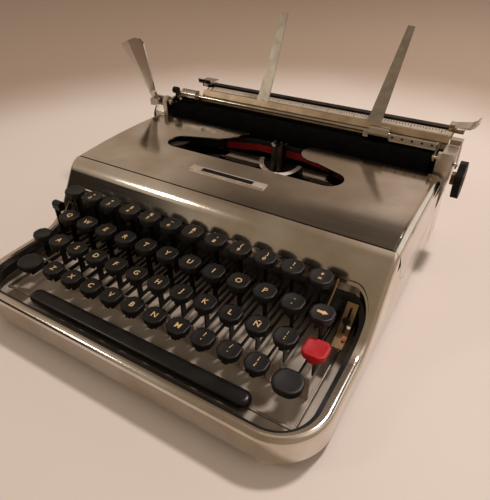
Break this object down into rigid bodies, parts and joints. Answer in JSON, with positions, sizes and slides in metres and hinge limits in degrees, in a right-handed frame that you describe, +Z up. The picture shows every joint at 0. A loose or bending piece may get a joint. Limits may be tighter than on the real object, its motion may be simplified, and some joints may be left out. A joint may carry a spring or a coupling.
{
  "type": "portable typewriter",
  "caption": "Flat portable typewriter with a bare polished metal casing, black octagonal keys, a hinged ribbon cover, a sliding carriage and raised paper supports.",
  "frame": {"origin": "centre of the whole outline, on the surface the rubber feet stand on", "axes": "+X to the typist's right along the platen, +Y to the back, +Z up"},
  "size_m": [0.3432, 0.3138, 0.1637],
  "materials": {
    "polished_steel": "polished, worn bare",
    "dark_pan": "satin",
    "black_rubber": "satin",
    "blackened_steel": "satin black",
    "satin_steel": "satin",
    "chromed_steel": "polished",
    "black_plastic": "gloss",
    "knob_set": "black",
    "plate_alloy": "satin",
    "ribbon_cloth": "inked cloth, black over red",
    "spool_alloy": "satin",
    "red_key": "gloss",
    "black_key": "gloss"
  },
  "bodies": {
    "chassis": {"base_pan": "dark_pan", "carriage_rail": "blackened_steel", "front_comb": "satin_steel", "ink_ribbon": "ribbon_cloth", "main_casing": "polished_steel", "opening_gasket": "black_rubber", "rear_casing": "polished_steel", "rubber_feet": "black_rubber", "selector_plate": "blackened_steel", "side_frames": "blackened_steel"},
    "carriage": {"carriage_frame": "satin_steel", "paper_table": "satin_steel", "margin_rack": "blackened_steel"},
    "ribbon_cover": {"ribbon_cover": "polished_steel", "name_plate": "plate_alloy"},
    "platen": {"platen": "black_rubber", "platen_knobs": "knob_set"},
    "line_space_lever": {"line_space_lever": "satin_steel"},
    "paper_bail": {"paper_bail": "satin_steel"},
    "paper_support_left": {"paper_support_left": "satin_steel"},
    "paper_support_right": {"paper_support_right": "satin_steel"},
    "shift_keys": {"shift_keys": "black_key"},
    "type_basket": {"segment": "satin_steel", "typebars": "blackened_steel"},
    "key_y": {"key_y": "black_key"},
    "typebar_y": {"typebar_y": "blackened_steel"},
    "ribbon_vibrator": {"ribbon_vibrator": "satin_steel"},
    "space_bar": {"space_bar": "black_plastic"},
    "backspace_key": {"backspace_key": "black_key"},
    "tabulator_key": {"tabulator_key": "red_key"},
    "margin_release_key": {"margin_release_key": "black_key"},
    "shift_lock": {"shift_lock": "black_key"},
    "tab_set_lever": {"tab_set_lever": "black_key"},
    "ribbon_selector": {"ribbon_selector": "black_plastic"},
    "paper_release": {"paper_release_lever": "black_plastic"},
    "carriage_release": {"carriage_release_lever": "black_plastic"},
    "margin_stop_left": {"margin_stop_left": "chromed_steel"},
    "margin_stop_right": {"margin_stop_right": "chromed_steel"},
    "spool_left": {"spool_left": "spool_alloy"},
    "spool_right": {"spool_right": "spool_alloy"},
    "number_and_sign_keys": {"number_and_sign_keys": "black_key"},
    "bottom_row_keys": {"bottom_row_keys": "black_key"},
    "key_q": {"key_q": "black_key"},
    "key_w": {"key_w": "black_key"},
    "key_e": {"key_e": "black_key"},
    "key_r": {"key_r": "black_key"},
    "key_t": {"key_t": "black_key"},
    "key_u": {"key_u": "black_key"},
    "key_i": {"key_i": "black_key"},
    "key_o": {"key_o": "black_key"},
    "key_p": {"key_p": "black_key"},
    "key_a": {"key_a": "black_key"},
    "key_s": {"key_s": "black_key"},
    "key_d": {"key_d": "black_key"},
    "key_f": {"key_f": "black_key"},
    "key_g": {"key_g": "black_key"},
    "key_h": {"key_h": "black_key"},
    "key_j": {"key_j": "black_key"},
    "key_k": {"key_k": "black_key"},
    "key_l": {"key_l": "black_key"}
  },
  "joints": [
    {"name": "carriage_travel", "type": "slide", "parent": "chassis", "child": "carriage", "axis": [1, 0, 0], "range_m": [-0.1, 0.1]},
    {"name": "ribbon_cover_lift", "type": "hinge", "parent": "chassis", "child": "ribbon_cover", "pos_m": [0.0184, 0.07664, 0.0732], "axis": [-1, 0, 0], "range_deg": [0, 60]},
    {"name": "platen_turn", "type": "hinge", "parent": "carriage", "child": "platen", "pos_m": [0.0184, 0.09814, 0.0675], "axis": [1, 0, 0], "continuous": true},
    {"name": "line_space_swing", "type": "hinge", "parent": "carriage", "child": "line_space_lever", "pos_m": [-0.1336, 0.09314, 0.083], "axis": [0, 1, 0], "range_deg": [0, 20], "stiffness_Nm_per_rad": 0.2, "springref_deg": -11.46},
    {"name": "paper_bail_lift", "type": "hinge", "parent": "carriage", "child": "paper_bail", "pos_m": [0.0184, 0.08814, 0.086], "axis": [1, 0, 0], "range_deg": [0, 75]},
    {"name": "paper_support_left_fold", "type": "hinge", "parent": "carriage", "child": "paper_support_left", "pos_m": [-0.0201, 0.11514, 0.0937], "axis": [0, -0.8572, 0.515], "range_deg": [0, 85]},
    {"name": "paper_support_right_fold", "type": "hinge", "parent": "carriage", "child": "paper_support_right", "pos_m": [0.0894, 0.11514, 0.0937], "axis": [0, -0.8572, 0.515], "range_deg": [0, 85]},
    {"name": "shift_press", "type": "hinge", "parent": "chassis", "child": "shift_keys", "pos_m": [0.0184, 0.08914, 0.0145], "axis": [1, 0, 0], "range_deg": [0, 2.2], "stiffness_Nm_per_rad": 5, "springref_deg": -6.88},
    {"name": "basket_shift", "type": "slide", "parent": "chassis", "child": "type_basket", "axis": [0, 0, -1], "range_m": [0, 0.0065]},
    {"name": "key_y_press", "type": "hinge", "parent": "chassis", "child": "key_y", "pos_m": [0.01653, 0.08914, 0.0145], "axis": [1, 0, 0], "range_deg": [0, 3.15], "stiffness_Nm_per_rad": 0.8, "springref_deg": -6.88},
    {"name": "typebar_y_swing", "type": "hinge", "parent": "type_basket", "child": "typebar_y", "pos_m": [0.0184, 0.06493, 0.03219], "axis": [-1, 0, 0], "range_deg": [0, 87]},
    {"name": "ribbon_lift", "type": "slide", "parent": "chassis", "child": "ribbon_vibrator", "axis": [0, 0, 1], "range_m": [0, 0.004]},
    {"name": "space_bar_press", "type": "hinge", "parent": "chassis", "child": "space_bar", "pos_m": [0.0184, 0.08914, 0.0145], "axis": [1, 0, 0], "range_deg": [0, 1.5], "stiffness_Nm_per_rad": 3, "springref_deg": -6.88},
    {"name": "backspace_press", "type": "hinge", "parent": "chassis", "child": "backspace_key", "pos_m": [0.13082, 0.08914, 0.0145], "axis": [1, 0, 0], "range_deg": [0, 3], "stiffness_Nm_per_rad": 0.8, "springref_deg": -6.88},
    {"name": "tabulator_press", "type": "hinge", "parent": "chassis", "child": "tabulator_key", "pos_m": [0.13559, 0.08914, 0.0145], "axis": [1, 0, 0], "range_deg": [0, 2.8], "stiffness_Nm_per_rad": 0.8, "springref_deg": -6.88},
    {"name": "margin_release_press", "type": "hinge", "parent": "chassis", "child": "margin_release_key", "pos_m": [-0.08825, 0.08914, 0.0145], "axis": [1, 0, 0], "range_deg": [0, 3.4], "stiffness_Nm_per_rad": 0.8, "springref_deg": -6.88},
    {"name": "shift_lock_press", "type": "hinge", "parent": "chassis", "child": "shift_lock", "pos_m": [-0.09301, 0.08914, 0.0145], "axis": [1, 0, 0], "range_deg": [0, 2], "stiffness_Nm_per_rad": 0.8, "springref_deg": -6.88},
    {"name": "tab_set_press", "type": "hinge", "parent": "chassis", "child": "tab_set_lever", "pos_m": [-0.1022, 0.08914, 0.0145], "axis": [1, 0, 0], "range_deg": [0, 2.6], "stiffness_Nm_per_rad": 0.8, "springref_deg": -6.88},
    {"name": "ribbon_selector_slide", "type": "slide", "parent": "chassis", "child": "ribbon_selector", "axis": [0, 0.731, 0.6824], "range_m": [-0.003, 0.003]},
    {"name": "paper_release_pull", "type": "hinge", "parent": "carriage", "child": "paper_release", "pos_m": [-0.1146, 0.10514, 0.074], "axis": [1, 0, 0], "range_deg": [0, 12]},
    {"name": "carriage_release_press", "type": "hinge", "parent": "carriage", "child": "carriage_release", "pos_m": [0.1629, 0.10514, 0.076], "axis": [1, 0, 0], "range_deg": [0, 8], "stiffness_Nm_per_rad": 0.05, "springref_deg": -11.46},
    {"name": "margin_stop_left_slide", "type": "slide", "parent": "carriage", "child": "margin_stop_left", "axis": [1, 0, 0], "range_m": [0, 0.055]},
    {"name": "margin_stop_right_slide", "type": "slide", "parent": "carriage", "child": "margin_stop_right", "axis": [1, 0, 0], "range_m": [-0.05, 0]},
    {"name": "spool_left_turn", "type": "hinge", "parent": "chassis", "child": "spool_left", "pos_m": [-0.0766, 0.04414, 0.066], "axis": [0, 0, 1], "continuous": true},
    {"name": "spool_right_turn", "type": "hinge", "parent": "chassis", "child": "spool_right", "pos_m": [0.1134, 0.04414, 0.066], "axis": [0, 0, 1], "continuous": true},
    {"name": "number_and_sign_press", "type": "hinge", "parent": "chassis", "child": "number_and_sign_keys", "pos_m": [0.0184, 0.08914, 0.0145], "axis": [1, 0, 0], "range_deg": [0, 3], "stiffness_Nm_per_rad": 11.2, "springref_deg": -6.88},
    {"name": "bottom_row_press", "type": "hinge", "parent": "chassis", "child": "bottom_row_keys", "pos_m": [0.0184, 0.08914, 0.0145], "axis": [1, 0, 0], "range_deg": [0, 2.6], "stiffness_Nm_per_rad": 8, "springref_deg": -6.88},
    {"name": "key_q_press", "type": "hinge", "parent": "chassis", "child": "key_q", "pos_m": [-0.07873, 0.08914, 0.0145], "axis": [1, 0, 0], "range_deg": [0, 3.15], "stiffness_Nm_per_rad": 0.8, "springref_deg": -6.88},
    {"name": "key_w_press", "type": "hinge", "parent": "chassis", "child": "key_w", "pos_m": [-0.05967, 0.08914, 0.0145], "axis": [1, 0, 0], "range_deg": [0, 3.15], "stiffness_Nm_per_rad": 0.8, "springref_deg": -6.88},
    {"name": "key_e_press", "type": "hinge", "parent": "chassis", "child": "key_e", "pos_m": [-0.04063, 0.08914, 0.0145], "axis": [1, 0, 0], "range_deg": [0, 3.15], "stiffness_Nm_per_rad": 0.8, "springref_deg": -6.88},
    {"name": "key_r_press", "type": "hinge", "parent": "chassis", "child": "key_r", "pos_m": [-0.02158, 0.08914, 0.0145], "axis": [1, 0, 0], "range_deg": [0, 3.15], "stiffness_Nm_per_rad": 0.8, "springref_deg": -6.88},
    {"name": "key_t_press", "type": "hinge", "parent": "chassis", "child": "key_t", "pos_m": [-0.00252, 0.08914, 0.0145], "axis": [1, 0, 0], "range_deg": [0, 3.15], "stiffness_Nm_per_rad": 0.8, "springref_deg": -6.88},
    {"name": "key_u_press", "type": "hinge", "parent": "chassis", "child": "key_u", "pos_m": [0.03558, 0.08914, 0.0145], "axis": [1, 0, 0], "range_deg": [0, 3.15], "stiffness_Nm_per_rad": 0.8, "springref_deg": -6.88},
    {"name": "key_i_press", "type": "hinge", "parent": "chassis", "child": "key_i", "pos_m": [0.05462, 0.08914, 0.0145], "axis": [1, 0, 0], "range_deg": [0, 3.15], "stiffness_Nm_per_rad": 0.8, "springref_deg": -6.88},
    {"name": "key_o_press", "type": "hinge", "parent": "chassis", "child": "key_o", "pos_m": [0.07368, 0.08914, 0.0145], "axis": [1, 0, 0], "range_deg": [0, 3.15], "stiffness_Nm_per_rad": 0.8, "springref_deg": -6.88},
    {"name": "key_p_press", "type": "hinge", "parent": "chassis", "child": "key_p", "pos_m": [0.09273, 0.08914, 0.0145], "axis": [1, 0, 0], "range_deg": [0, 3.15], "stiffness_Nm_per_rad": 0.8, "springref_deg": -6.88},
    {"name": "key_a_press", "type": "hinge", "parent": "chassis", "child": "key_a", "pos_m": [-0.07396, 0.08914, 0.0145], "axis": [1, 0, 0], "range_deg": [0, 2.85], "stiffness_Nm_per_rad": 0.8, "springref_deg": -6.88},
    {"name": "key_s_press", "type": "hinge", "parent": "chassis", "child": "key_s", "pos_m": [-0.05491, 0.08914, 0.0145], "axis": [1, 0, 0], "range_deg": [0, 2.85], "stiffness_Nm_per_rad": 0.8, "springref_deg": -6.88},
    {"name": "key_d_press", "type": "hinge", "parent": "chassis", "child": "key_d", "pos_m": [-0.03586, 0.08914, 0.0145], "axis": [1, 0, 0], "range_deg": [0, 2.85], "stiffness_Nm_per_rad": 0.8, "springref_deg": -6.88},
    {"name": "key_f_press", "type": "hinge", "parent": "chassis", "child": "key_f", "pos_m": [-0.01681, 0.08914, 0.0145], "axis": [1, 0, 0], "range_deg": [0, 2.85], "stiffness_Nm_per_rad": 0.8, "springref_deg": -6.88},
    {"name": "key_g_press", "type": "hinge", "parent": "chassis", "child": "key_g", "pos_m": [0.00224, 0.08914, 0.0145], "axis": [1, 0, 0], "range_deg": [0, 2.85], "stiffness_Nm_per_rad": 0.8, "springref_deg": -6.88},
    {"name": "key_h_press", "type": "hinge", "parent": "chassis", "child": "key_h", "pos_m": [0.02129, 0.08914, 0.0145], "axis": [1, 0, 0], "range_deg": [0, 2.85], "stiffness_Nm_per_rad": 0.8, "springref_deg": -6.88},
    {"name": "key_j_press", "type": "hinge", "parent": "chassis", "child": "key_j", "pos_m": [0.04034, 0.08914, 0.0145], "axis": [1, 0, 0], "range_deg": [0, 2.85], "stiffness_Nm_per_rad": 0.8, "springref_deg": -6.88},
    {"name": "key_k_press", "type": "hinge", "parent": "chassis", "child": "key_k", "pos_m": [0.05939, 0.08914, 0.0145], "axis": [1, 0, 0], "range_deg": [0, 2.85], "stiffness_Nm_per_rad": 0.8, "springref_deg": -6.88},
    {"name": "key_l_press", "type": "hinge", "parent": "chassis", "child": "key_l", "pos_m": [0.07844, 0.08914, 0.0145], "axis": [1, 0, 0], "range_deg": [0, 2.85], "stiffness_Nm_per_rad": 0.8, "springref_deg": -6.88}
  ],
  "couplings": [
    {"joint": "basket_shift", "follows": "shift_press", "m_per_rad": 0.165},
    {"joint": "typebar_y_swing", "follows": "key_y_press", "ratio": 27.6},
    {"joint": "ribbon_lift", "follows": "key_y_press", "m_per_rad": 0.0725}
  ]
}
